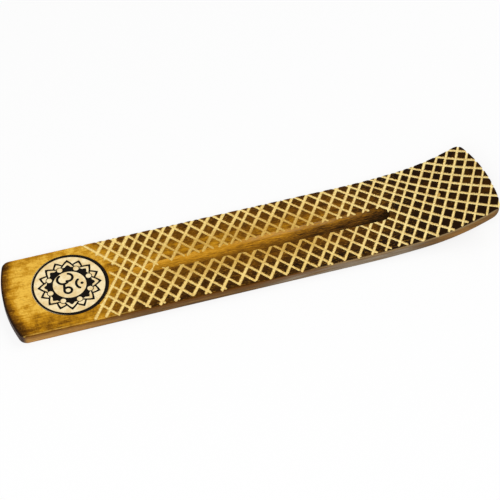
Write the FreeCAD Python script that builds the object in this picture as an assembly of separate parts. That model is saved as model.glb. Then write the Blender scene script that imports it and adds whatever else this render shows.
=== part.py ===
import FreeCAD, Part
import math
import os

# Ski-shaped wooden incense holder: one bent board, carved with a diamond
# lattice, with an ash trough, a stick hole and an inlaid medallion.
# Frame: millimetres, +X from the flat heel to the upturned tip, +Y to the
# back edge, +Z up, origin under the middle of the bounding box.

Vec = FreeCAD.Vector
UP = Vec(0, 0, 1)

# Board blank
length = 232.0
width = 45.0
thickness = 5.1
tip_thickness = 4.1
heel_end_radius = 66.0
tip_end_radius = 91.0
tip_end_offset = 6.4
corner_radius = 4.0
edge_round = 0.6

# Bend towards the tip: a long gentle lead-in, then a tighter arc
lead_bend_length = 30.9
lead_bend_radius = 300.0
tip_bend_length = 36.3
tip_bend_radius = 81.6

# Ash trough, run with a ball-nosed cutter that dips in and ramps down from the heel side
trough_from_heel = 59.7
trough_length = 124.5
trough_start_depth = 0.45
trough_ramp = 58.0
trough_depth = 2.1
trough_nose_radius = 5.0
trough_offset = 0.25

# Stick hole, drilled square to the bent surface
hole_diameter = 1.9
hole_from_tip = 21.0
hole_offset = 1.0

# Diamond lattice: rising grooves run to +X as they go back, falling ones to -X
groove_width = 1.3
groove_depth = 0.8
groove_pitch = 7.0
groove_front_margin = 1.0
groove_tip_margin = 1.2
rising_groove_angle = 54.0
rising_groove_from_heel = 52.4
falling_groove_angle = 49.5
falling_groove_from_heel = 59.1

# Inlaid medallion, bedded on glue in a round recess
medallion_diameter = 34.8
medallion_thickness = 1.5
medallion_from_heel = 30.7
medallion_offset = 1.0
medallion_gap = 0.1
medallion_border = 0.6
glue_thickness = 0.15
engraving_depth = 0.4

# Rim line and lotus, as radii and widths on the medallion
rim_line_width = 1.1
rim_line_inset = 0.15
petal_count = 8
petal_turn = 38.0
petal_tip_radius = 14.7
petal_base_radius = 9.2
petal_half_width = 3.9
petal_bulge = 0.35
petal_line_width = 0.85
petal_band = 1.8
ground_inner_radius = 7.6
ground_outer_radius = 10.4
ground_line_gap = 0.25
dot_ring_radius = 9.7
dot_radius = 1.25
dot_line_width = 0.4

# Om sign, in its own upright frame about the medallion's centre
sign_stroke = 1.2
upper_bowl_across = -4.3
upper_bowl_up = 0.05
upper_bowl_radius = 2.15
upper_bowl_turns = (-25.0, 165.0)
lower_bowl_across = -3.6
lower_bowl_up = -2.35
lower_bowl_radius = 2.6
lower_bowl_turns = (-150.0, 44.0)
tail_curl_across = 3.05
tail_curl_up = -1.3
tail_curl_radius = 1.7
tail_curl_turns = (250.0, 575.0)
crescent_across = 0.6
crescent_up = 6.0
crescent_radius = 3.05
crescent_turns = (217.0, 323.0)
sign_dot_radius = 0.75
sign_dot_up = 5.6

# Places that follow from the sizes above
heel_x = -length / 2
tip_x = length / 2
half_width = width / 2
cutter_reach = 2 * thickness
blank_start_x = heel_x - cutter_reach
lead_bend_x = tip_x - tip_bend_length - lead_bend_length
lead_bend_angle = math.asin(lead_bend_length / lead_bend_radius)
medallion_x = heel_x + medallion_from_heel
medallion_radius = medallion_diameter / 2
medallion_base_z = thickness - medallion_thickness
engraving_z = thickness - engraving_depth


def inward(slope):
    """Unit normal of the board, towards the inside of its bend."""
    return Vec(-math.sin(slope), 0, math.cos(slope))


def bend_point(centre, radius, slope):
    """Point on a bend where the board has the given slope."""
    return centre - inward(slope) * radius


def bend_edge(centre, radius, start_slope, end_slope):
    """Arc of the side profile between two slopes."""
    slopes = (start_slope, (start_slope + end_slope) / 2, end_slope)
    return Part.Arc(*[bend_point(centre, radius, slope) for slope in slopes]).toShape()


def straight(start, end):
    return Part.LineSegment(start, end).toShape()


# Bend centres. The underside is two tangent arcs; the upper face keeps the
# board's thickness through the lead-in and thins along the tip bend.
lead_centre = Vec(lead_bend_x, 0, lead_bend_radius)
tip_centre = lead_centre - inward(lead_bend_angle) * (lead_bend_radius - tip_bend_radius)
tip_slope = math.asin((tip_x - tip_centre.x) / tip_bend_radius)
upper_start = bend_point(lead_centre, lead_bend_radius - thickness, lead_bend_angle)
upper_tip = bend_point(tip_centre, tip_bend_radius - tip_thickness, tip_slope)
upper_chord = upper_tip - upper_start
upper_radius = upper_chord.dot(upper_chord) / (2 * upper_chord.dot(inward(lead_bend_angle)))
upper_centre = upper_start + inward(lead_bend_angle) * upper_radius
end_slope = math.asin((tip_x + cutter_reach - tip_centre.x) / tip_bend_radius)
upper_end_slope = math.asin((tip_x + cutter_reach - upper_centre.x) / upper_radius)


def upper_edges(drop):
    """Side profile of the upper face, lowered square to the surface."""
    level = thickness - drop
    return [
        straight(Vec(blank_start_x, 0, level), Vec(lead_bend_x, 0, level)),
        bend_edge(lead_centre, lead_bend_radius - level, 0, lead_bend_angle),
        bend_edge(upper_centre, upper_radius + drop, lead_bend_angle, upper_end_slope),
    ]


def under_edges():
    """Side profile of the underside."""
    return [
        straight(Vec(blank_start_x, 0, 0), Vec(lead_bend_x, 0, 0)),
        bend_edge(lead_centre, lead_bend_radius, 0, lead_bend_angle),
        bend_edge(tip_centre, tip_bend_radius, lead_bend_angle, end_slope),
    ]


def across_board(lower, upper):
    """Solid between two side profiles, over the whole width."""
    ends = [
        straight(lower[0].firstVertex().Point, upper[0].firstVertex().Point),
        straight(lower[-1].lastVertex().Point, upper[-1].lastVertex().Point),
    ]
    wire = Part.Wire(Part.__sortEdges__(lower + upper + ends))
    section = Part.Face(wire)
    section.translate(Vec(0, -half_width, 0))
    return section.extrude(Vec(0, width, 0))


def plan_arc(radius, apex_x, apex_y, facing):
    """End of the plan: a round arc through its apex, from the front side to the back."""
    def at(y):
        return Vec(apex_x - facing * (radius - math.sqrt(radius ** 2 - (y - apex_y) ** 2)), y, 0)
    return Part.Arc(at(-half_width), at(apex_y), at(half_width)).toShape()


# Plan of the board: straight sides, two round ends, rounded corners
plan_height = bend_point(upper_centre, upper_radius, upper_end_slope).z + thickness
heel_arc = plan_arc(heel_end_radius, heel_x, 0, -1)
tip_arc = plan_arc(tip_end_radius, tip_x, -tip_end_offset, 1)
front_side = straight(heel_arc.firstVertex().Point, tip_arc.firstVertex().Point)
back_side = straight(heel_arc.lastVertex().Point, tip_arc.lastVertex().Point)
plan_wire = Part.Wire(Part.__sortEdges__([heel_arc, back_side, tip_arc, front_side]))
plan = Part.Face(plan_wire).extrude(UP * plan_height)
upright_limit = math.cos(math.radians(5))


def is_upright(edge):
    return abs(edge.tangentAt(edge.FirstParameter).z) > upright_limit


def is_side(face):
    first_u, last_u, first_v, last_v = face.ParameterRange
    normal = face.normalAt((first_u + last_u) / 2, (first_v + last_v) / 2)
    return math.hypot(normal.x, normal.y) > upright_limit


plan = plan.makeFillet(corner_radius, [edge for edge in plan.Edges if is_upright(edge)])

# Blank: the plan cut through the bent section, with its whole outline eased
blank = across_board(under_edges(), upper_edges(0)).common(plan)
outline = [edge for face in blank.Faces if is_side(face) for edge in face.Edges if not is_upright(edge)]
board = blank.makeFillet(edge_round, outline)


# Lattice, laid out in plan and sunk to one depth below the upper face. Its
# grooves run out over the back edge and stop short of the front and the tip.
front_limit = groove_front_margin - half_width
rising_run = 1 / math.tan(math.radians(rising_groove_angle))
falling_run = -1 / math.tan(math.radians(falling_groove_angle))
first_rising_x = heel_x + rising_groove_from_heel
first_falling_x = heel_x + falling_groove_from_heel


def crossing_y(x, run, other_x, other_run):
    """Height in plan where two lines meet, each given by its x at the middle and its run."""
    return (other_x - x) / (run - other_run)


def medallion_exit_y(x, run):
    """Front end of the chord that a line cuts through the border round the medallion."""
    keep_clear = medallion_radius + medallion_border
    across = x + run * medallion_offset - medallion_x
    spread = keep_clear ** 2 * (1 + run ** 2) - across ** 2
    if spread < 0:
        return crossing_y(x, run, first_rising_x, rising_run)
    return medallion_offset - (across * run + math.sqrt(spread)) / (1 + run ** 2)


def groove_strip(x, run, front_y, back_y):
    """Plan of one straight groove between two heights."""
    start = Vec(x + run * front_y, front_y, 0)
    end = Vec(x + run * back_y, back_y, 0)
    aside = (end - start).cross(UP).normalize() * (groove_width / 2)
    corners = [start + aside, end + aside, end - aside, start - aside]
    return Part.Face(Part.makePolygon(corners + corners[:1]))


strips = []
past_back = half_width + groove_width
field_length = tip_x - first_rising_x + width
for step in range(-int(width / groove_pitch), int(field_length / groove_pitch)):
    rising_x = first_rising_x + step * groove_pitch
    rising_front = front_limit
    if step < 0:
        rising_front = crossing_y(rising_x, rising_run, first_falling_x, falling_run)
    if rising_front < half_width:
        strips.append(groove_strip(rising_x, rising_run, rising_front, past_back))
    falling_x = first_falling_x + step * groove_pitch
    falling_back = past_back
    if step < 0:
        falling_back = medallion_exit_y(falling_x, falling_run)
    if falling_back > front_limit + groove_width:
        strips.append(groove_strip(falling_x, falling_run, front_limit, falling_back))
tip_arc_x = tip_x - tip_end_radius
heel_field = Part.makeBox(tip_arc_x - blank_start_x, width, plan_height, Vec(blank_start_x, -half_width, 0))
tip_field_radius = tip_end_radius - groove_tip_margin
tip_field = Part.makeCylinder(tip_field_radius, plan_height, Vec(tip_arc_x, -tip_end_offset, 0))
groove_layer = across_board(upper_edges(groove_depth), upper_edges(-groove_depth))
groove_layer = groove_layer.common(heel_field.fuse(tip_field))
grooves = [strip.extrude(UP * plan_height).common(groove_layer) for strip in strips]
board = board.cut(grooves).removeSplitter()


# Ash trough: the cutter's ball dips in, ramps down, then runs level to a round end
def lip_reach(depth):
    """Half width of the cut that the ball leaves at a depth."""
    return math.sqrt(2 * trough_nose_radius * depth - depth ** 2)


trough_x = heel_x + trough_from_heel
cutter_z = thickness + trough_nose_radius
cutter_start_x = trough_x + lip_reach(trough_start_depth)
cutter_end_x = trough_x + trough_length - lip_reach(trough_depth)
cutter_start = Vec(cutter_start_x, trough_offset, cutter_z - trough_start_depth)
cutter_turn = Vec(cutter_start_x + trough_ramp, trough_offset, cutter_z - trough_depth)
cutter_end = Vec(cutter_end_x, trough_offset, cutter_z - trough_depth)
cutter_path = Part.makePolygon([cutter_start, cutter_turn, cutter_end])
cutter_nose = Part.Wire(Part.makeCircle(trough_nose_radius, cutter_start, cutter_turn - cutter_start))
board = board.cut(cutter_path.makePipeShell([cutter_nose], True, False, 1))
for ball_centre in (cutter_start, cutter_end):
    board = board.cut(Part.makeSphere(trough_nose_radius, ball_centre))

# Stick hole, along the normal of the upper face
hole_x = tip_x - hole_from_tip
hole_slope = math.asin((hole_x - upper_centre.x) / upper_radius)
hole_mouth = bend_point(upper_centre, upper_radius, hole_slope) + Vec(0, hole_offset, 0)
hole_axis = inward(hole_slope)
hole_start = hole_mouth - hole_axis * cutter_reach
board = board.cut(Part.makeCylinder(hole_diameter / 2, 2 * cutter_reach, hole_start, hole_axis))


def round_plate(radius, bottom_z, height):
    """Round plate on the medallion's axis."""
    return Part.makeCylinder(radius, height, Vec(medallion_x, medallion_offset, bottom_z))


# Medallion recess, glue bed and disc
glue_z = medallion_base_z - glue_thickness
board = board.cut(round_plate(medallion_radius + medallion_gap, glue_z, cutter_reach))
glue = round_plate(medallion_radius, glue_z, glue_thickness)
disc = round_plate(medallion_radius, medallion_base_z, medallion_thickness)


def enamel(*edges):
    """Enamel as deep as the engraving, inside a closed drawing in the medallion's own plane."""
    return Part.Face(Part.Wire(edges)).extrude(UP * engraving_depth)


def enamel_dot(radius, across=0.0, up=0.0):
    return enamel(Part.makeCircle(radius, Vec(across, up, 0)))


def enamel_ring(inner_radius, outer_radius):
    return enamel_dot(outer_radius).cut(enamel_dot(inner_radius))


def joined(shapes):
    return shapes[0].fuse(shapes[1:]).removeSplitter()


def turned(shape, degrees):
    copy = shape.copy()
    copy.rotate(Vec(0, 0, 0), UP, degrees)
    return copy


def around(shape, first_turn):
    """Copies of an enamel shape, one for each petal."""
    return [turned(shape, first_turn + place * 360.0 / petal_count) for place in range(petal_count)]


def petal(inset):
    """Pointed petal with slightly full sides, drawn in all round by about the given width."""
    reach = petal_tip_radius - petal_base_radius
    side = math.hypot(reach, petal_half_width)
    half_base = petal_half_width - inset * side / reach
    tip = Vec(petal_tip_radius - inset * side / petal_half_width, 0, 0)
    left = Vec(petal_base_radius, half_base, 0)
    right = Vec(petal_base_radius, -half_base, 0)
    outward = Vec(half_base, tip.x - petal_base_radius, 0).normalize()
    left_mid = (tip + left) * 0.5 + outward * petal_bulge
    right_mid = Vec(left_mid.x, -left_mid.y, 0)
    left_side = Part.Arc(tip, left_mid, left).toShape()
    right_side = Part.Arc(right, right_mid, tip).toShape()
    return enamel(right_side, left_side, straight(left, right))


# Rim line: a thin ring just inside the disc's edge
rim_outer = medallion_radius - rim_line_inset
rim_line = enamel_ring(rim_outer - rim_line_width, rim_outer)

# Lotus: outlined front petals, back petals showing between them, and a dark
# ground with a tongue in each front petal and an outlined bare dot between them
half_step = 180.0 / petal_count
petal_outline = petal(0).cut(petal(petal_line_width))
front_petals = around(petal(0), petal_turn)
front_lines = around(petal_outline, petal_turn)
back_lines = [line.cut(front_petals) for line in around(petal_outline, petal_turn + half_step)]
lotus_band = enamel_ring(ground_outer_radius + ground_line_gap, petal_tip_radius + petal_line_width)
tongues = around(petal(petal_band), petal_turn)
bare_dots = around(enamel_dot(dot_radius, dot_ring_radius), petal_turn + half_step)
dot_grounds = around(enamel_dot(dot_radius + dot_line_width, dot_ring_radius), petal_turn + half_step)
lotus_ground = joined([enamel_dot(ground_outer_radius)] + tongues + dot_grounds)
petal_lines = joined(front_lines + back_lines).common(lotus_band).cut(lotus_ground)
lotus_ground = lotus_ground.cut([enamel_dot(ground_inner_radius)] + bare_dots)


def on_circle(centre, radius, angle):
    turn = math.radians(angle)
    return centre + Vec(math.cos(turn), math.sin(turn), 0) * radius


def arc_stroke(centre, radius, turns):
    """Curved pen stroke of even width with round ends, between two angles in degrees."""
    half_stroke = sign_stroke / 2
    start, end = turns
    middle = (start + end) / 2
    outer = [on_circle(centre, radius + half_stroke, angle) for angle in (start, middle, end)]
    inner = [on_circle(centre, radius - half_stroke, angle) for angle in (end, middle, start)]
    past_end = on_circle(on_circle(centre, radius, end), half_stroke, end + 90)
    past_start = on_circle(on_circle(centre, radius, start), half_stroke, start - 90)
    end_cap = Part.Arc(outer[-1], past_end, inner[0]).toShape()
    start_cap = Part.Arc(inner[-1], past_start, outer[0]).toShape()
    return enamel(Part.Arc(*outer).toShape(), end_cap, Part.Arc(*inner).toShape(), start_cap)


def line_stroke(start, end):
    """Straight pen stroke between two points."""
    aside = (end - start).cross(UP).normalize() * (sign_stroke / 2)
    corners = [start + aside, end + aside, end - aside, start - aside]
    return enamel(*Part.makePolygon(corners + corners[:1]).Edges)


# Om sign: two bowls, a tail that curls up, a crescent and a dot
upper_bowl = Vec(upper_bowl_across, upper_bowl_up, 0)
lower_bowl = Vec(lower_bowl_across, lower_bowl_up, 0)
tail_curl = Vec(tail_curl_across, tail_curl_up, 0)
tail_start = lower_bowl + Vec(lower_bowl_radius, 0, 0)
tail_join = on_circle(tail_curl, tail_curl_radius, tail_curl_turns[0])
crescent = Vec(crescent_across, crescent_up, 0)
om_sign = joined([
    arc_stroke(upper_bowl, upper_bowl_radius, upper_bowl_turns),
    arc_stroke(lower_bowl, lower_bowl_radius, lower_bowl_turns),
    line_stroke(tail_start, tail_join),
    arc_stroke(tail_curl, tail_curl_radius, tail_curl_turns),
    arc_stroke(crescent, crescent_radius, crescent_turns),
    enamel_dot(sign_dot_radius, crescent_across, sign_dot_up),
])

# The sign lies on its side, with its top towards the tip of the board
fills = {
    "rim_line_fill": rim_line,
    "petal_line_fill": petal_lines,
    "lotus_ground_fill": lotus_ground,
    "om_sign_fill": turned(om_sign, -90),
}
for fill in fills.values():
    fill.translate(Vec(medallion_x, medallion_offset, engraving_z))
    disc = disc.cut(fill)

pieces = {"board": board, "medallion_disc": disc, "medallion_glue": glue, **fills}
os.makedirs("parts", exist_ok=True)
for name, shape in pieces.items():
    shape.exportStep(f"parts/{name}.step")
    print(name, "valid" if shape.isValid() else "INVALID", len(shape.Solids), round(shape.Volume, 3))
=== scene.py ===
import bpy
import bmesh
import math
import random
import numpy as np
from mathutils import Matrix, Vector


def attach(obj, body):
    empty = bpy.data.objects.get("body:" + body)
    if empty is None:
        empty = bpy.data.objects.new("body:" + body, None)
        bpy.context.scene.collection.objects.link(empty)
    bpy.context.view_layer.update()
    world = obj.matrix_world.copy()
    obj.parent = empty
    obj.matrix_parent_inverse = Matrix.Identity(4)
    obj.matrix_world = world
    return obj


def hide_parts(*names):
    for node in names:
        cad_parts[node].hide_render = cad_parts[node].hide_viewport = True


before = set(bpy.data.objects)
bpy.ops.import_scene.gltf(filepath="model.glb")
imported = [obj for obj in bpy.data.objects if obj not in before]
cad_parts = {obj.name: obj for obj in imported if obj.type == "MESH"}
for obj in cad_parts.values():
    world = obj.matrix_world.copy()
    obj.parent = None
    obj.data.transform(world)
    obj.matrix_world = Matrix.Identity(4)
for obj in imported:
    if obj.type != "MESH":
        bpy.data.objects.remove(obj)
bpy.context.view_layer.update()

# Board: one strip of pale wood, sawn to a ski shape, steamed into a bend at the tip,
# scorched brown on top and lacquered. The lattice was carved through the scorched skin
# afterwards, so its grooves show raw wood. It is drawn in millimetres and scaled last.
millimetre = 0.001
board_length = 232.0
board_width = 45.0
board_thickness = 5.1
half_width = board_width / 2
corner_radius = 4.0
edge_round = 0.6
heel_radius = 66.0
tip_radius = 91.0
heel_centre = Vector((heel_radius - board_length / 2, 0, 0))
tip_centre = Vector((board_length / 2 - tip_radius, -6.4, 0))

# In side view the underside bends in two arcs, a slack lead and a tighter tip.
# The upper face has its own tip arc, so that the board thins towards its end.
lead_x = 48.8
lead_length = 30.9
lead_radius = 300.0
lead_slope = math.asin(lead_length / lead_radius)
lead_upper_radius = lead_radius - board_thickness
lead_run = lead_upper_radius * lead_slope
under_radius = 81.6
under_x = 71.295
under_z = 82.762
upper_radius = 86.582
upper_x = 70.2567
upper_z = 92.7904


def unrolled(x):
    """Distance along the upper face for a place in plan."""
    lead = lead_x + lead_upper_radius * np.arcsin(np.clip((x - lead_x) / lead_upper_radius, -1, 1))
    turn = np.arcsin(np.clip((x - upper_x) / upper_radius, -1, 1)) - lead_slope
    bent = np.where(turn > 0, lead_x + lead_run + upper_radius * turn, lead)
    return np.where(x > lead_x, bent, x)


def upper_face(along):
    """Plan place, height and slope of the upper face at a distance along it."""
    slope = np.clip((along - lead_x) / lead_upper_radius, 0, lead_slope)
    slope = slope + np.maximum(along - lead_x - lead_run, 0) / upper_radius
    lead = slope <= lead_slope
    radius = np.where(lead, lead_upper_radius, upper_radius)
    x = np.where(lead, lead_x, upper_x) + radius * np.sin(slope)
    z = np.where(lead, lead_radius, upper_z) - radius * np.cos(slope)
    return np.where(along < lead_x, along, x), z, slope


def underside(x):
    """Height of the underside for a place in plan."""
    lead = lead_radius - np.sqrt(lead_radius ** 2 - np.clip(x - lead_x, 0, lead_radius) ** 2)
    tip = under_z - np.sqrt(under_radius ** 2 - np.clip(x - under_x, -1, under_radius) ** 2)
    return np.where(x > lead_x + lead_radius * math.sin(lead_slope), tip, lead)


def corner(end_centre, end_radius, facing, side):
    """Centre of the small arc that rounds a corner, and its direction from the end's centre."""
    rise = side * (half_width - corner_radius) - end_centre.y
    run = facing * math.sqrt((end_radius - corner_radius) ** 2 - rise ** 2)
    return end_centre + Vector((run, rise, 0)), math.atan2(rise, run)


def sweep(bm, vert, centre, angle):
    """Carries the outline on from a vertex along an arc, in steps of about a millimetre."""
    steps = max(6, round((vert.co - centre).length * angle))
    swept = bmesh.ops.spin(bm, geom=[vert], cent=centre, axis=(0, 0, 1), angle=angle, steps=steps)
    return swept["geom_last"][0]


def carry(bm, vert, place):
    """Carries the outline on from a vertex in a straight line."""
    end = bmesh.ops.extrude_vert_indiv(bm, verts=[vert])["verts"][0]
    end.co = place
    return end


quarter = math.pi / 2
heel_back, heel_back_turn = corner(heel_centre, heel_radius, -1, 1)
heel_front, heel_front_turn = corner(heel_centre, heel_radius, -1, -1)
tip_front, tip_front_turn = corner(tip_centre, tip_radius, 1, -1)
tip_back, tip_back_turn = corner(tip_centre, tip_radius, 1, 1)
board = bmesh.new()
start = board.verts.new(heel_back + Vector((0, corner_radius, 0)))
here = sweep(board, start, heel_back, heel_back_turn - quarter)
here = sweep(board, here, heel_centre, heel_front_turn + 4 * quarter - heel_back_turn)
here = sweep(board, here, heel_front, -quarter - heel_front_turn)
here = carry(board, here, tip_front - Vector((0, corner_radius, 0)))
here = sweep(board, here, tip_front, tip_front_turn + quarter)
here = sweep(board, here, tip_centre, tip_back_turn - tip_front_turn)
here = sweep(board, here, tip_back, quarter - tip_back_turn)
bmesh.ops.contextual_create(board, geom=[here, start])
sheet = bmesh.ops.contextual_create(board, geom=board.edges[:])["faces"][0]

# Rings for the eased edge, each marked with its drop below the face.
edge_rings = 4
edge_drop = board.verts.layers.float.new("edge_drop")
for vert in sheet.verts:
    vert[edge_drop] = edge_round
ring_inset = 0.0
for ring in range(1, edge_rings + 1):
    turn = quarter * ring / edge_rings
    inset = edge_round * (1 - math.cos(turn))
    bmesh.ops.inset_region(
        board, faces=[sheet], thickness=inset - ring_inset, use_boundary=True, use_even_offset=True
    )
    ring_inset = inset
    for vert in sheet.verts:
        vert[edge_drop] = edge_round * (1 - math.sin(turn))
for vert in board.verts:
    vert.co.x = float(unrolled(vert.co.x))

# Grooves, cut freehand one by one: each keeps its own slant, width and end.
# A groove is a line x = middle + run * y between two places across the board.
hand = random.Random(7)
groove_depth = 0.7
groove_lip = 0.22
lip_wear = 0.07
back_fade = 3.5
falling_groove_width = 1.4
falling_narrowing = 0.0009
rising_groove_width = 1.7
rising_narrowing = 0.0026
full_width_x = -60.0
medallion_place = Vector((-85.3, 1.0, 0))
medallion_border = 19.0
grooves = []


def add_groove(middle, run, front, back, width):
    """Notes a groove, a little off its mark as a hand cuts it."""
    grooves.append((
        middle + hand.uniform(-0.3, 0.3),
        run + hand.uniform(-0.012, 0.012),
        front,
        back,
        width * hand.uniform(0.9, 1.1),
    ))


def front_stop():
    """Where a groove ends, short of the front edge."""
    return -half_width + hand.uniform(0.7, 1.9)


# Falling grooves lean back towards the heel. The first few stop at the medallion.
past_back = half_width + 2
shortest_groove = 3.0
first_falling = -57.0
first_falling_run = -0.8
falling_pitch = 7.1
falling_span = 157.0
for count in range(-4, 29):
    middle = first_falling + falling_pitch * count
    share = min(max(0, (middle - first_falling) / falling_span), 1.02)
    run = first_falling_run - 0.1 * share - 0.28 * share ** 4
    back = past_back
    if count < 0:
        across = middle + run * medallion_place.y - medallion_place.x
        spread = medallion_border ** 2 * (1 + run ** 2) - across ** 2
        back = medallion_place.y - (across * run + math.sqrt(max(spread, 0))) / (1 + run ** 2)
    if back > -half_width + shortest_groove:
        width = falling_groove_width - falling_narrowing * (middle - full_width_x)
        add_groove(middle, run, front_stop(), back, width)

# Rising grooves lean towards the tip, with three pitches and two slips of the hand.
# The first few start at the first falling groove.
first_rising = -63.2
heel_pitch = 5.6
middle_pitch = 7.45
tip_pitch = 6.2
slips = {7: 5.8, 15: 5.0}
middle = first_rising - heel_pitch * 3
for count in range(-3, 30):
    run = 0.72 + 0.08 * math.exp(-((count - 6) / 3.5) ** 2) - 0.0046 * max(count - 14, 0)
    front = front_stop()
    if count < 0:
        front = (first_falling - middle) / (run - first_falling_run)
    width = rising_groove_width - rising_narrowing * (middle - full_width_x)
    add_groove(middle, run, front, past_back, width)
    pitch = heel_pitch if count < 3 else middle_pitch if count < 18 else tip_pitch
    middle += slips.get(count, pitch)


def groove_depths(along, across):
    """Depth of the carving at places on the unrolled face, and how near they are to a groove's middle."""
    deepest = np.zeros(len(along))
    nearest = np.full(len(along), 9.0)
    for middle, run, front, back, width in grooves:
        slant = math.hypot(1, run)
        reach = (run * (along - middle) + across) / slant
        beyond = reach - np.clip(reach, front * slant, back * slant)
        aside = (along - middle - run * across) / slant
        share = np.hypot(aside, beyond) / (width / 2)
        nearest = np.minimum(nearest, share)
        deepest = np.maximum(deepest, np.clip(1 - share ** 2.4, 0, 1))
        worn = np.clip(1 - (share - 1) * (width / 2) / groove_lip, 0, 1) * lip_wear
        deepest = np.maximum(deepest, worn)
    shallower = 1 - 0.5 * np.clip((across - half_width + back_fade) / back_fade, 0, 1)
    return deepest * groove_depth * shallower, nearest


# The sheet is scored along each groove's slopes and lips, near the front edge
# where grooves end, and across the bend.
merge_distance = 0.004
slope_lines = (-0.5, -0.3, -0.1, 0.1, 0.3, 0.5)
front_lines = 9
front_line_start = 0.4
front_line_pitch = 0.25
bend_lines = 24
bend_line_pitch = 3


def score(bm, place, normal):
    """Splits the sheet along a straight line."""
    geometry = bm.verts[:] + bm.edges[:] + bm.faces[:]
    bmesh.ops.bisect_plane(bm, geom=geometry, dist=merge_distance, plane_co=place, plane_no=normal)


for middle, run, front, back, width in grooves:
    normal = Vector((1, -run, 0)).normalized()
    for share in slope_lines:
        score(board, Vector((middle, 0, 0)) + normal * (share * width), normal)
    for side in (-1, 1):
        score(board, Vector((middle, 0, 0)) + normal * (side * (width / 2 + groove_lip)), normal)
for line in range(front_lines):
    score(board, (0, -half_width + front_line_start + front_line_pitch * line, 0), (0, 1, 0))
for line in range(bend_lines):
    score(board, (lead_x + bend_line_pitch * line, 0, 0), (1, 0, 0))

# The sheet gets its underside, then both follow the bend.
upper_verts = board.verts[:]
lower = bmesh.ops.extrude_face_region(board, geom=board.faces[:], use_keep_orig=True)["geom"]
lower_verts = [item for item in lower if isinstance(item, bmesh.types.BMVert)]


def flat_places(verts):
    """Places along and across the unrolled sheet, and the drops marked for the eased edge."""
    return np.array([(vert.co.x, vert.co.y, vert[edge_drop]) for vert in verts]).T


def settle(verts, places_x, heights):
    """Moves vertices to their places on the bent board."""
    for vert, vert_x, vert_z in zip(verts, places_x, heights):
        vert.co = (vert_x, vert.co.y, vert_z)


along, across, drop = flat_places(upper_verts)
bent_x, bent_z, slope = upper_face(along)
settle(upper_verts, bent_x, bent_z - (drop + groove_depths(along, across)[0]) / np.cos(slope))
along, across, drop = flat_places(lower_verts)
bent_x, bent_z, slope = upper_face(along)
settle(lower_verts, bent_x, underside(bent_x) + drop / np.cos(slope))
bmesh.ops.recalc_face_normals(board, faces=board.faces[:])
lower_set = set(lower_verts)
for face in board.faces:
    face.smooth = True
    face.material_index = int(any(vert in lower_set for vert in face.verts))


def finished_mesh(bm, name):
    """Turns a bmesh into a mesh object in the scene."""
    mesh = bpy.data.meshes.new(name)
    bm.to_mesh(mesh)
    bm.free()
    piece = bpy.data.objects.new(name, mesh)
    bpy.context.scene.collection.objects.link(piece)
    return piece


# The ash trough was run with a ball-nosed cutter that dips in near the heel and ramps
# down; the stick hole was drilled square to the bent face; the medallion sits in a
# shallow round recess.
trough_ball = 5.0
trough_path = (
    Vector((-54.227, 0.25, 9.65)),
    Vector((3.773, 0.25, 8.0)),
    Vector((64.127, 0.25, 8.0)),
)
hole_radius = 0.95
hole_mouth = Vector((95.0, 1.0, 9.819))
hole_axis = Vector((-0.28578, 0, 0.9583))
recess_radius = 17.5
recess_floor = 3.45
trough_face = 2
bored_face = 3

cutter = bmesh.new()
ball_turn = Matrix.Translation(trough_path[0]) @ Matrix.Rotation(quarter, 4, "Y")
bmesh.ops.create_uvsphere(cutter, u_segments=96, v_segments=48, radius=trough_ball, matrix=ball_turn)
cap = [face for face in cutter.faces if face.calc_center_median().x > trough_path[0].x]
for behind, ahead in zip(trough_path, trough_path[1:]):
    moved = bmesh.ops.extrude_face_region(cutter, geom=cap)["geom"]
    bmesh.ops.delete(cutter, geom=cap, context="FACES")
    cap = [item for item in moved if isinstance(item, bmesh.types.BMFace)]
    cap_verts = [item for item in moved if isinstance(item, bmesh.types.BMVert)]
    bmesh.ops.translate(cutter, verts=cap_verts, vec=ahead - behind)
trough_faces = set(cutter.faces)


def add_drill(radius, depth, segments, place):
    """Adds a round cutter, centred on its place."""
    bmesh.ops.create_cone(
        cutter,
        cap_ends=True,
        segments=segments,
        radius1=radius,
        radius2=radius,
        depth=depth,
        matrix=place,
    )


hole_turn = hole_axis.to_track_quat("Z", "Y").to_matrix().to_4x4()
add_drill(hole_radius, 4 * board_thickness, 40, Matrix.Translation(hole_mouth) @ hole_turn)
recess_middle = medallion_place + Vector((0, 0, recess_floor + board_thickness))
add_drill(recess_radius, 2 * board_thickness, 160, Matrix.Translation(recess_middle))
for face in cutter.faces:
    face.material_index = trough_face if face in trough_faces else bored_face
    face.smooth = True
bmesh.ops.recalc_face_normals(cutter, faces=cutter.faces[:])

board_blank = finished_mesh(board, "board_blank")
cutter_piece = finished_mesh(cutter, "board_cutter")
for slot in range(4):
    board_blank.data.materials.append(None)
    cutter_piece.data.materials.append(None)
cutting = board_blank.modifiers.new("cut", "BOOLEAN")
cutting.operation = "DIFFERENCE"
cutting.solver = "EXACT"
cutting.object = cutter_piece
depsgraph = bpy.context.evaluated_depsgraph_get()
board_mesh = bpy.data.meshes.new_from_object(board_blank.evaluated_get(depsgraph))
bpy.data.objects.remove(board_blank)
bpy.data.objects.remove(cutter_piece)
trimmed = bmesh.new()
trimmed.from_mesh(board_mesh)
bmesh.ops.remove_doubles(trimmed, verts=trimmed.verts[:], dist=merge_distance)
bmesh.ops.triangulate(trimmed, faces=[face for face in trimmed.faces if len(face.verts) > 4])
trimmed.to_mesh(board_mesh)
trimmed.free()

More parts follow.
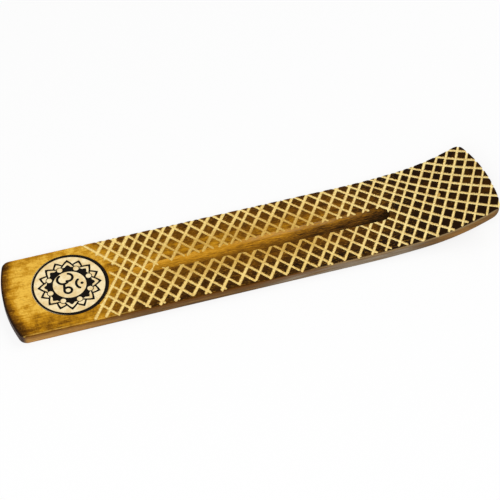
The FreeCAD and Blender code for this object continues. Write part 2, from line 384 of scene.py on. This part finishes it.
# How near each place is to the middle of a groove, for the raw wood's colour, and
# how high it is above the underside, for the scorch that runs over the edge.
places = np.empty(len(board_mesh.vertices) * 3)
board_mesh.vertices.foreach_get("co", places)
places = places.reshape(-1, 3)
nearness = np.minimum(groove_depths(unrolled(places[:, 0]), places[:, 1])[1], 3)
height = places[:, 2] - underside(places[:, 0])
for name, values in (("groove_share", nearness), ("side_height", height)):
    layer = board_mesh.attributes.new(name, "FLOAT", "POINT")
    layer.data.foreach_set("value", values.astype(np.float32))
board_mesh.set_sharp_from_angle(angle=math.radians(40))
board_mesh.transform(Matrix.Scale(millimetre, 4))


def colour(red, green, blue):
    """Shader colour from the eight-bit values that a picture of the finish would show."""
    shares = [value / 255 for value in (red, green, blue)]
    return (*[v / 12.92 if v <= 0.04045 else ((v + 0.055) / 1.055) ** 2.4 for v in shares], 1)


class Finish:
    """One socket among a material's nodes, so that shader maths reads as plain expressions."""

    def __init__(self, tree, socket=None):
        self.tree = tree
        self.socket = socket

    def node(self, kind, settings=None, inputs=None, output=0):
        """Adds a node: its settings first, then its sockets' values or links."""
        made = self.tree.nodes.new(kind)
        for name, value in (settings or {}).items():
            if name == "stops":
                while len(made.color_ramp.elements) < len(value):
                    made.color_ramp.elements.new(1)
                for element, (position, shade) in zip(made.color_ramp.elements, value):
                    element.position = position
                    element.color = shade
            else:
                setattr(made, name, value)
        for name, value in (inputs or {}).items():
            if isinstance(value, Finish):
                self.tree.links.new(value.socket, made.inputs[name])
            else:
                made.inputs[name].default_value = value
        return Finish(self.tree, made.outputs[output])

    def maths(self, operation, *values):
        """Result of a Math node on values or sockets."""
        return self.node("ShaderNodeMath", {"operation": operation}, dict(enumerate(values)))

    def __add__(self, other):
        return self.maths("ADD", self, other)

    __radd__ = __add__

    def __sub__(self, other):
        return self.maths("SUBTRACT", self, other)

    def __rsub__(self, other):
        return self.maths("SUBTRACT", other, self)

    def __mul__(self, other):
        return self.maths("MULTIPLY", self, other)

    __rmul__ = __mul__

    def smooth(self, low, high):
        """Eased step from 0 at low to 1 at high."""
        settings = {"interpolation_type": "SMOOTHSTEP"}
        return self.node("ShaderNodeMapRange", settings, {"Value": self, "From Min": low, "From Max": high})

    def mixed(self, first, second):
        """Colour between two others, with this value as the share of the second."""
        inputs = {0: self, 6: first, 7: second}
        return self.node("ShaderNodeMix", {"data_type": "RGBA"}, inputs, 2)

    def axis(self, index):
        """One coordinate of this place."""
        return self.node("ShaderNodeSeparateXYZ", None, {0: self}, index)

    def noise(self, stretch, detail=3.0, roughness=0.55):
        """Noise over this place, with the pattern's size in millimetres along each axis."""
        scale = tuple(1 / size for size in stretch)
        place = self.node("ShaderNodeMapping", {"vector_type": "POINT"}, {"Vector": self, "Scale": scale})
        inputs = {"Vector": place, "Scale": 1.0, "Detail": detail, "Roughness": roughness}
        return self.node("ShaderNodeTexNoise", None, inputs)

    def from_point(self, centre):
        """Distance in plan between this place and a point."""
        flat = self.node("ShaderNodeVectorMath", {"operation": "MULTIPLY"}, {0: self, 1: (1, 1, 0)})
        return self.node("ShaderNodeVectorMath", {"operation": "DISTANCE"}, {0: flat, 1: centre}, 1)

    def layer(self, name):
        """Value that the piece's mesh carries under a name."""
        return self.node("ShaderNodeAttribute", {"attribute_name": name}, None, 2)

    def ramp(self, *stops):
        """Colour picked from a row of stops by this value."""
        return self.node("ShaderNodeValToRGB", {"stops": stops}, {"Fac": self})


def new_finish(name):
    """A material with a plain Principled shader, and the place on its piece in millimetres."""
    material = bpy.data.materials.new(name)
    material.use_nodes = True
    start = Finish(material.node_tree)
    spot = start.node("ShaderNodeTexCoord", output=3)
    per_metre = 1 / millimetre
    return material, start.node("ShaderNodeVectorMath", {"operation": "SCALE"}, {0: spot, "Scale": per_metre})


def dress(material, base, roughness, gloss, height=None, bump=0.1, reach=0.4):
    """Joins colour, roughness and relief to the material's shader; the relief's reach is in millimetres."""
    shader = material.node_tree.nodes["Principled BSDF"]
    links = material.node_tree.links
    shader.inputs["Specular IOR Level"].default_value = gloss
    for name, value in (("Base Color", base), ("Roughness", roughness)):
        if isinstance(value, Finish):
            links.new(value.socket, shader.inputs[name])
        else:
            shader.inputs[name].default_value = value
    if height:
        inputs = {"Height": height, "Strength": bump, "Distance": reach * millimetre}
        links.new(height.node("ShaderNodeBump", None, inputs).socket, shader.inputs["Normal"])


# Upper face: the scorch is light at the heel and dark at the tip and along both edges,
# with the wood's figure and pores showing through it.
scorched_top, place = new_finish("scorched_top")
x, y = place.axis(0), place.axis(1)
grain = place.noise((26, 1.1, 1.1), 4, 0.6)
fine_grain = place.noise((4, 0.4, 0.4), 3, 0.65)
patches = place.noise((16, 9, 9), 3, 0.6)
cells = place.noise((4, 4, 4), 3, 0.6)
figure = place.noise((5, 9, 9), 5, 0.7)
pores = place.noise((0.5, 1.6, 1.6), 3, 0.65)
near_heel = x.smooth(-80, -95)
bare_end = x.smooth(-55, -68)
heel_gap = heel_radius - place.from_point(heel_centre)
scorch = 0.1 + 0.46 * x.smooth(-76, -50) + 0.12 * x.smooth(-20, 55) + 0.33 * x.smooth(48, 86)
scorch = scorch - 0.1 * x.smooth(96, 112)
near_lip = y.smooth(14, 6) * y.smooth(1, 5) * x.smooth(-62, -45) * x.smooth(70, 30)
scorch = scorch - 0.2 * near_lip
scorch = scorch + 0.26 * y.smooth(-8, -19) + 0.14 * y.smooth(15, 22)
scorch = scorch + 0.03 * y.smooth(0, -5) * x.smooth(-62, -45) * x.smooth(25, -5)
scorch = scorch + bare_end * (0.5 * (figure - 0.5) + 0.3 * (pores - 0.5))
scorch = scorch + 0.5 * (heel_gap + 8 * (figure - 0.5)).smooth(6.5, 0) * near_heel
scorch = scorch + 0.4 * (patches - 0.5) + 0.6 * (cells - 0.5)
scorch = scorch + 0.35 * (grain - 0.5) + 0.5 * (fine_grain - 0.5)
land = scorch.ramp(
    (0.0, colour(230, 182, 70)),
    (0.22, colour(188, 132, 22)),
    (0.48, colour(110, 68, 6)),
    (0.72, colour(70, 40, 3)),
    (1.0, colour(28, 13, 1)),
)

# Golden flecks, a pale front edge near the heel that is partly wear and partly painted highlight,
# the darkened front edge, the charred heel and the dark line round the medallion's recess.
front_scorch = colour(98, 58, 12)
flecks = place.noise((1.8, 0.5, 0.5), 2, 0.6).smooth(0.55, 0.72)
land = (0.55 * flecks * x.smooth(95, 60)).mixed(land, colour(170, 122, 40))
# Pale gold along the front edge near the heel: partly wear, partly a painted highlight where the eased edge
# would catch the light.
edge_wear_and_highlight = y.smooth(-21.6, -21.9) * y.smooth(-22.35, -22.1) * bare_end
land = (0.55 * edge_wear_and_highlight * fine_grain.smooth(0.35, 0.6)).mixed(land, colour(232, 186, 84))
land = (0.7 * y.smooth(-22.15, -22.4) * x.smooth(55, 10)).mixed(land, front_scorch)
land = (0.6 * y.smooth(-21.9, -22.3) * x.smooth(10, 40)).mixed(land, colour(168, 140, 98))
charred_end = heel_gap.smooth(1.6, 0.2) * near_heel
land = charred_end.mixed(land, colour(32, 19, 12))
recess_shadow = place.from_point(medallion_place + Vector((0.25, -0.1, 0))).smooth(17.75, 17.55)
land = recess_shadow.mixed(land, colour(36, 20, 6))

# Raw wood in the grooves and in a chip beside the hole: torn fibres, browned near
# the trough, and painted shade along each groove's sides.
torn = place.noise((0.9, 0.9, 0.9), 3, 0.7)
fray = place.noise((0.7, 0.7, 0.7), 2)
ragged = place.layer("groove_share") + 0.6 * (fine_grain - 0.5) + 0.6 * (fray - 0.5)
in_groove = ragged.smooth(1.05, 0.85)
chip = place.from_point(hole_mouth + Vector((-1.9, -0.4, -hole_mouth.z))).smooth(1.3, 0.9)
carved = in_groove.maths("MAXIMUM", in_groove, chip)
browned = x.smooth(-56, -25) * x.smooth(62, 20) * y.smooth(-16, -6) * y.smooth(18, 8)
raw = x.smooth(20, 75).mixed(colour(240, 216, 140), colour(244, 226, 160))
raw = (0.65 * browned + 0.8 * (cells - 0.5)).mixed(raw, colour(204, 164, 66))
raw = (0.6 * fine_grain.smooth(0.48, 0.7) + 0.6 * torn.smooth(0.48, 0.7)).mixed(raw, colour(186, 142, 58))
# Painted shade: each groove darkens from its middle towards its lips.
raw = (0.75 * ragged.smooth(0.5, 1.0)).mixed(raw, colour(168, 118, 32))
raw = (0.4 * browned * ragged.smooth(0.45, 0.1)).mixed(raw, colour(160, 112, 34))
top_rough = 0.62 * carved + (1 - carved) * (0.36 + 0.2 * fine_grain)
top_relief = 0.4 * grain + 0.6 * fine_grain
dress(scorched_top, carved.mixed(land, raw), top_rough, 0.03, top_relief, 0.3, 0.3)

# Sawn sides and underside: the same wood, stained, with the scorch of the upper face
# running over the edge and a painted grey sheen past the middle.
sawn_side, place = new_finish("sawn_side")
x = place.axis(0)
grain = place.noise((20, 0.8, 0.8), 4, 0.6)
fine_grain = place.noise((3, 0.3, 0.3), 3, 0.6)
patches = place.noise((30, 10, 6), 2, 0.5)
dim = 0.24 + 0.5 * x.smooth(-98, -52) - 0.16 * x.smooth(72, 92)
dim = dim + 0.9 * (grain - 0.5) + 0.5 * (patches - 0.5) + 0.5 * (fine_grain - 0.5)
side_colour = dim.ramp(
    (0.0, colour(194, 146, 76)),
    (0.35, colour(154, 110, 52)),
    (0.7, colour(102, 74, 40)),
    (1.0, colour(66, 46, 22)),
)
# Painted sheen: a grey stretch along the side past the middle, following the grain.
painted_grey_sheen = x.smooth(-8, 14) * x.smooth(84, 66) * grain.smooth(0.3, 0.6)
side_colour = (0.8 * painted_grey_sheen).mixed(side_colour, colour(148, 134, 114))
scorched_edge = (place.layer("side_height") + 1.5 * (fine_grain - 0.5)).smooth(2.0, 4.4)
side_colour = (0.7 * scorched_edge * x.smooth(55, 10)).mixed(side_colour, front_scorch)
heel_gap = heel_radius - place.from_point(heel_centre)
charred_end = heel_gap.smooth(2.5, 0.5) * x.smooth(-80, -95)
side_colour = charred_end.mixed(side_colour, colour(58, 42, 36))
dress(sawn_side, side_colour, 0.5, 0.08, grain + 0.6 * fine_grain, 0.3, 0.3)

# Trough: cut through the skin, then browned by the cutter and by ash. It darkens
# towards the tip; its front side has painted shade, and its back wall and lip a painted highlight.
trough_wood, place = new_finish("trough_wood")
x, y = place.axis(0), place.axis(1)
streaks = place.noise((8, 0.6, 0.6), 4, 0.7)
fine_grain = place.noise((2.2, 0.35, 0.35), 3, 0.65)
patches = place.noise((14, 5, 5), 2, 0.5)
# Painted light on the trough's back wall and rim, which face the lamps.
painted_back_wall_light = y.smooth(0.8, 2.6)
painted_back_rim_light = y.smooth(2.2, 3.6) * x.smooth(-15, 10)
browning_and_painted_light = 0.32 + 0.2 * x.smooth(-45, 0) + 0.28 * x.smooth(-5, 50) + 0.22 * x.smooth(46, 66)
# Painted shade towards the trough's front side, and painted light on its back wall and rim.
browning_and_painted_light = browning_and_painted_light + 0.1 * y.smooth(0.5, -2) - 0.14 * painted_back_wall_light - 0.12 * painted_back_rim_light
browning_and_painted_light = browning_and_painted_light + 1.0 * (streaks - 0.5) + 0.9 * (fine_grain - 0.5) + 0.25 * (patches - 0.5)
trough_colour = browning_and_painted_light.ramp(
    (0.0, colour(216, 162, 58)),
    (0.3, colour(186, 130, 26)),
    (0.58, colour(128, 84, 16)),
    (0.82, colour(74, 45, 10)),
    (1.0, colour(30, 17, 3)),
)
# Painted highlight: a pale tan streak along the trough's back lip.
painted_lip_highlight = y.smooth(2.4, 3.6) * x.smooth(-15, 5) * x.smooth(66, 35)
trough_colour = (0.5 * painted_lip_highlight * streaks.smooth(0.35, 0.6)).mixed(trough_colour, colour(190, 152, 98))
dress(trough_wood, trough_colour, 0.55, 0.03, streaks + 0.6 * fine_grain, 0.4, 0.4)

# Bored wood, dark brown, in the stick hole and under the medallion.
bored_wood, place = new_finish("bored_wood")
dress(bored_wood, place.noise((1, 1, 3)).mixed(colour(84, 50, 14), colour(44, 25, 7)), 0.7, 0.05)

for index, finish in enumerate((scorched_top, sawn_side, trough_wood, bored_wood)):
    board_mesh.materials[index] = finish
board_piece = bpy.data.objects.new("carved_board", board_mesh)
bpy.context.scene.collection.objects.link(board_piece)
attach(board_piece, "root")
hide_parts("board")

# Medallion: a thin disc of speckled cream soapstone, engraved with a lotus and a sign.
# It is let into the round recess near the heel, almost level with the board, and its
# edge is inked black.
soapstone, place = new_finish("cream_soapstone")
mottle = place.noise((3, 3, 3), 4, 0.6)
stone_colour = mottle.smooth(0.35, 0.65).mixed(colour(242, 224, 180), colour(226, 198, 142))
specks = place.noise((0.7, 0.7, 0.7), 2, 0.6).smooth(0.56, 0.74)
stone_colour = (0.4 * specks).mixed(stone_colour, colour(168, 132, 78))
inked_rim = place.from_point(medallion_place + Vector((-0.3, 0, 0))).smooth(17.1, 17.25)
stone_colour = inked_rim.mixed(stone_colour, colour(30, 20, 10))
dress(soapstone, stone_colour, 0.42, 0.12, place.noise((0.5, 0.5, 0.5), 3), 0.12, 0.2)
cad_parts["medallion_disc"].material_slots[0].material = soapstone

# Glue: a thin bed of clear glue on the floor of the recess. It is spread before the
# disc is pressed in, and hardly shows afterwards.
clear_glue, place = new_finish("clear_glue")
dress(clear_glue, colour(196, 170, 110), 0.35, 0.5)
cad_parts["medallion_glue"].material_slots[0].material = clear_glue

# Fillings: black enamel in the disc's engraving, for the rim line, the petals, the
# dark ground and the sign. It was rubbed into the cuts and levelled with the stone.
black_enamel, place = new_finish("black_enamel")
dress(black_enamel, colour(14, 9, 6), 0.34, 0.05, place.noise((0.6, 0.6, 0.6), 2), 0.1, 0.2)
for name in ("rim_line_fill", "petal_line_fill", "lotus_ground_fill", "om_sign_fill"):
    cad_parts[name].material_slots[0].material = black_enamel

# Studio: a pale floor that shows nearly white and keeps a soft shadow, two soft square
# lamps, a camera at the photograph's viewing angle and an even white surround.
floor_size = 3
floor_white_share = 0.8
floor_grey = (0.86, 0.86, 0.86, 1)
white = (1, 1, 1, 1)


def looked_at(start):
    """1 where the camera looks at a surface, also by reflection or through glass, and 0 elsewhere."""
    camera_ray = start.node("ShaderNodeLightPath")
    rays = camera_ray.socket.node.outputs
    mirrored = Finish(start.tree, rays["Is Glossy Ray"])
    through = Finish(start.tree, rays["Is Transmission Ray"])
    return start.maths("MAXIMUM", camera_ray, start.maths("MAXIMUM", mirrored, through))


studio_floor = bmesh.new()
bmesh.ops.create_grid(studio_floor, x_segments=1, y_segments=1, size=floor_size)
floor = finished_mesh(studio_floor, "studio_floor")
floor_finish = bpy.data.materials.new("pale_floor")
floor_finish.use_nodes = True
start = Finish(floor_finish.node_tree)
glow = start.node("ShaderNodeEmission", None, {"Color": white, "Strength": 1.0})
matt = start.node("ShaderNodeBsdfDiffuse", None, {"Color": floor_grey})
share = floor_white_share * looked_at(start)
painted = start.node("ShaderNodeMixShader", None, {0: share, 1: matt, 2: glow})
start.tree.links.new(painted.socket, start.tree.nodes["Material Output"].inputs["Surface"])
floor.data.materials.append(floor_finish)


def soft_lamp(name, place, size, power):
    """Square lamp aimed at the middle of the object."""
    lamp = bpy.data.lights.new(name, "AREA")
    lamp.size = size
    lamp.energy = power
    piece = bpy.data.objects.new(name, lamp)
    bpy.context.scene.collection.objects.link(piece)
    piece.location = place
    piece.rotation_euler = (-Vector(place)).to_track_quat("-Z", "Y").to_euler()


soft_lamp("key_lamp", (-0.45, -0.75, 0.9), 0.6, 9.0)
soft_lamp("fill_lamp", (0.8, 0.3, 0.9), 0.8, 5.0)

# The camera stands at a distance from its target, turned, raised and slightly rolled.
camera_azimuth = math.radians(-17.167)
camera_elevation = math.radians(49.939)
camera_roll = math.radians(0.286)
camera_target = Vector((-1.06, -2.99, 5.0)) * millimetre
camera_distance = 0.6937
camera_data = bpy.data.cameras.new("camera")
camera_data.sensor_width = 36
camera_data.lens = 108.04
camera = bpy.data.objects.new("camera", camera_data)
bpy.context.scene.collection.objects.link(camera)
level = math.cos(camera_elevation)
backward = Vector((
    math.sin(camera_azimuth) * level,
    -math.cos(camera_azimuth) * level,
    math.sin(camera_elevation),
))
right = Vector((math.cos(camera_azimuth), math.sin(camera_azimuth), 0))
up = backward.cross(right)
right_rolled = right * math.cos(camera_roll) + up * math.sin(camera_roll)
up_rolled = up * math.cos(camera_roll) - right * math.sin(camera_roll)
camera_place = camera_target + backward * camera_distance
camera.matrix_world = Matrix((
    (right_rolled.x, up_rolled.x, backward.x, camera_place.x),
    (right_rolled.y, up_rolled.y, backward.y, camera_place.y),
    (right_rolled.z, up_rolled.z, backward.z, camera_place.z),
    (0, 0, 0, 1),
))
bpy.context.scene.camera = camera

# The surround shows white, and lights the object at half that strength.
surround_light = 0.5
world = bpy.data.worlds.new("studio")
bpy.context.scene.world = world
world.use_nodes = True
surround = world.node_tree.nodes["Background"]
surround.inputs["Color"].default_value = white
start = Finish(world.node_tree)
bright = surround_light + (1 - surround_light) * looked_at(start)
start.tree.links.new(bright.socket, surround.inputs["Strength"])
bpy.context.scene.view_settings.view_transform = "Standard"
